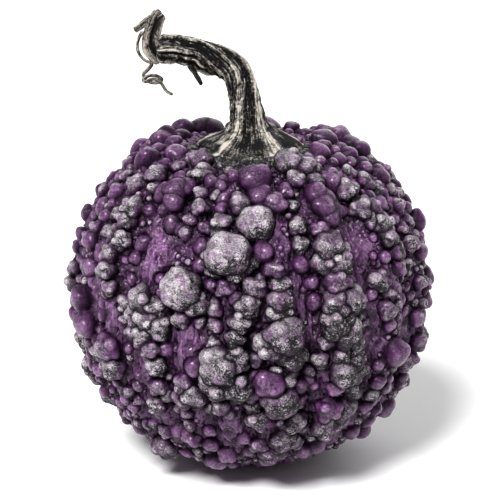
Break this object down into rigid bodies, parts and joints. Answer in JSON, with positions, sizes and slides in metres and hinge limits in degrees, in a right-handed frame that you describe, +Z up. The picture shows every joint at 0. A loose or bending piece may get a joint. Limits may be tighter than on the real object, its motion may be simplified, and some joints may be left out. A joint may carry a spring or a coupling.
{
  "type": "pumpkin",
  "caption": "Round ribbed pumpkin covered in rows of warts, with a flared, ridged, curved stem, curled vine end and tendril; rests on a small flat spot.",
  "frame": {"origin": "middle of the flat spot that the fruit rests on", "axes": "+Z up, along the fruit's core towards the stem; -Y is the side seen from the front; the stem bends towards -X"},
  "size_m": [0.2272, 0.2321, 0.2852],
  "materials": {
    "rind": "waxy semi-gloss rind, purple, the larger warts mottled silver-grey",
    "stem": "dry, fibrous, cream ridges over charcoal grooves",
    "vine": "dry, fibrous, cream with dark streaks",
    "twig": "dry, almost black"
  },
  "bodies": {
    "root": {"pumpkin_body": "rind", "stem": "stem", "vine_end": "vine", "fibre_strand": "vine", "tendril": "vine", "twig_stub": "twig"}
  },
  "joints": []
}
